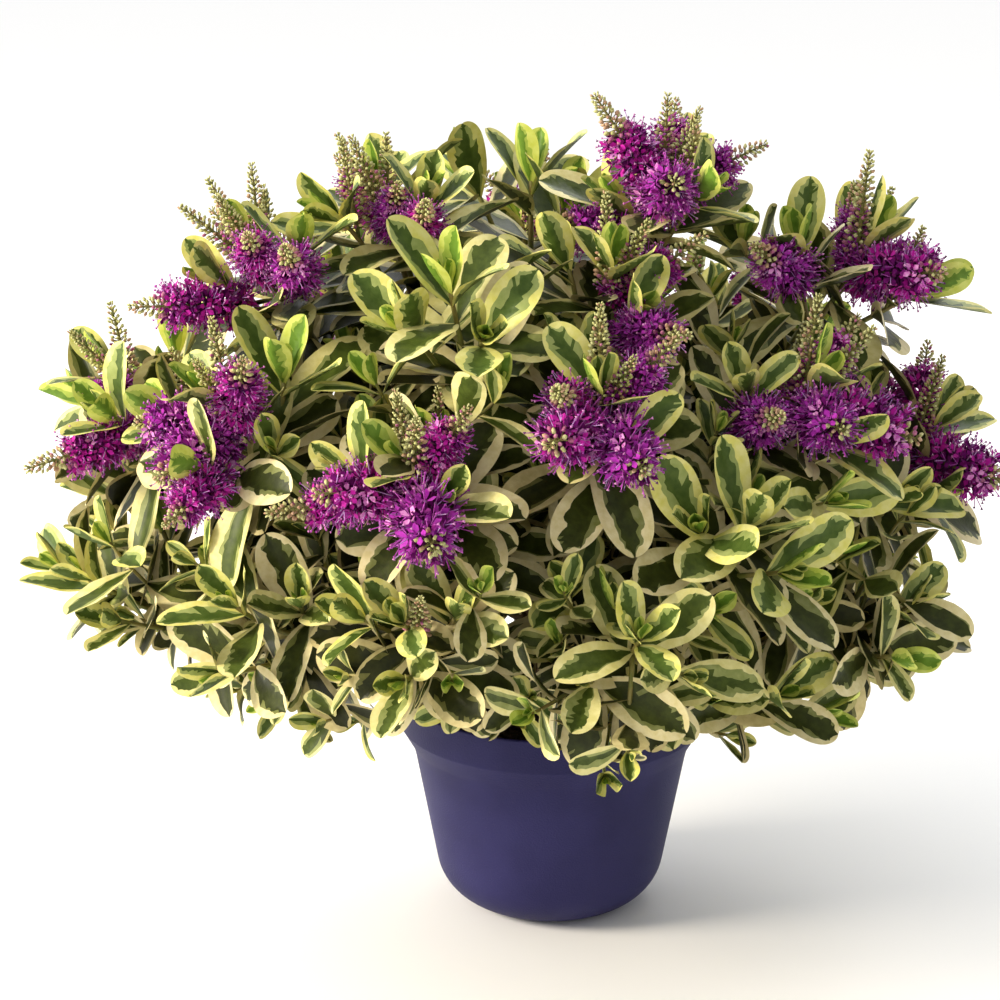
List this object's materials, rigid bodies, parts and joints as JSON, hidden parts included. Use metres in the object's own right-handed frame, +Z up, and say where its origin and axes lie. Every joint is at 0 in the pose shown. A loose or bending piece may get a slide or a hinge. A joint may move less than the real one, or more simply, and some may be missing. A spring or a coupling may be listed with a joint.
{
  "type": "potted flowering hebe shrub",
  "caption": "Rounded variegated hebe shrub with magenta-purple flower spikes and cream-edged leaves, growing in a blue-violet nursery pot.",
  "frame": {"origin": "centre of the pot's flat underside, on the surface that the pot stands on", "axes": "+Z up, -Y towards the front of the plant as pictured, +X to its right"},
  "size_m": [0.4879, 0.4046, 0.4053],
  "materials": {
    "blue_violet_plastic": "satin",
    "dark_compost": "matte",
    "brown_bark": "matte",
    "variegated_foliage": "satin"
  },
  "bodies": {
    "root": {"pot": "blue_violet_plastic", "compost": "dark_compost", "trunk": "brown_bark", "bough_top_right": "brown_bark", "bough_right_top": "brown_bark", "bough_far_right": "brown_bark", "bough_right_mid": "brown_bark", "bough_right_low": "brown_bark", "bough_right_front": "brown_bark", "bough_bottom_right": "brown_bark", "bough_centre": "brown_bark", "bough_centre_upper": "brown_bark", "bough_front_right": "brown_bark", "bough_top_mid": "brown_bark", "bough_mid_upper": "brown_bark", "bough_centre_left": "brown_bark", "bough_front_left": "brown_bark", "bough_top_left": "brown_bark", "bough_upper_left": "brown_bark", "bough_left": "brown_bark", "bough_left_front": "brown_bark", "bough_far_left": "brown_bark", "bough_left_low": "brown_bark", "bough_back_top": "brown_bark", "bough_back_right": "brown_bark", "bough_back_right_low": "brown_bark", "bough_back_mid": "brown_bark", "bough_back_low": "brown_bark", "bough_back_left": "brown_bark", "bough_back_left_low": "brown_bark", "mass_top_right": "variegated_foliage", "mass_right_top": "variegated_foliage", "mass_far_right": "variegated_foliage", "mass_right_mid": "variegated_foliage", "mass_right_low": "variegated_foliage", "mass_right_front": "variegated_foliage", "mass_bottom_right": "variegated_foliage", "mass_centre": "variegated_foliage", "mass_centre_upper": "variegated_foliage", "mass_front_right": "variegated_foliage", "mass_top_mid": "variegated_foliage", "mass_mid_upper": "variegated_foliage", "mass_centre_left": "variegated_foliage", "mass_front_left": "variegated_foliage", "mass_top_left": "variegated_foliage", "mass_upper_left": "variegated_foliage", "mass_left": "variegated_foliage", "mass_left_front": "variegated_foliage", "mass_far_left": "variegated_foliage", "mass_left_low": "variegated_foliage", "mass_back_top": "variegated_foliage", "mass_back_right": "variegated_foliage", "mass_back_right_low": "variegated_foliage", "mass_back_mid": "variegated_foliage", "mass_back_low": "variegated_foliage", "mass_back_left": "variegated_foliage", "mass_back_left_low": "variegated_foliage"}
  },
  "joints": []
}
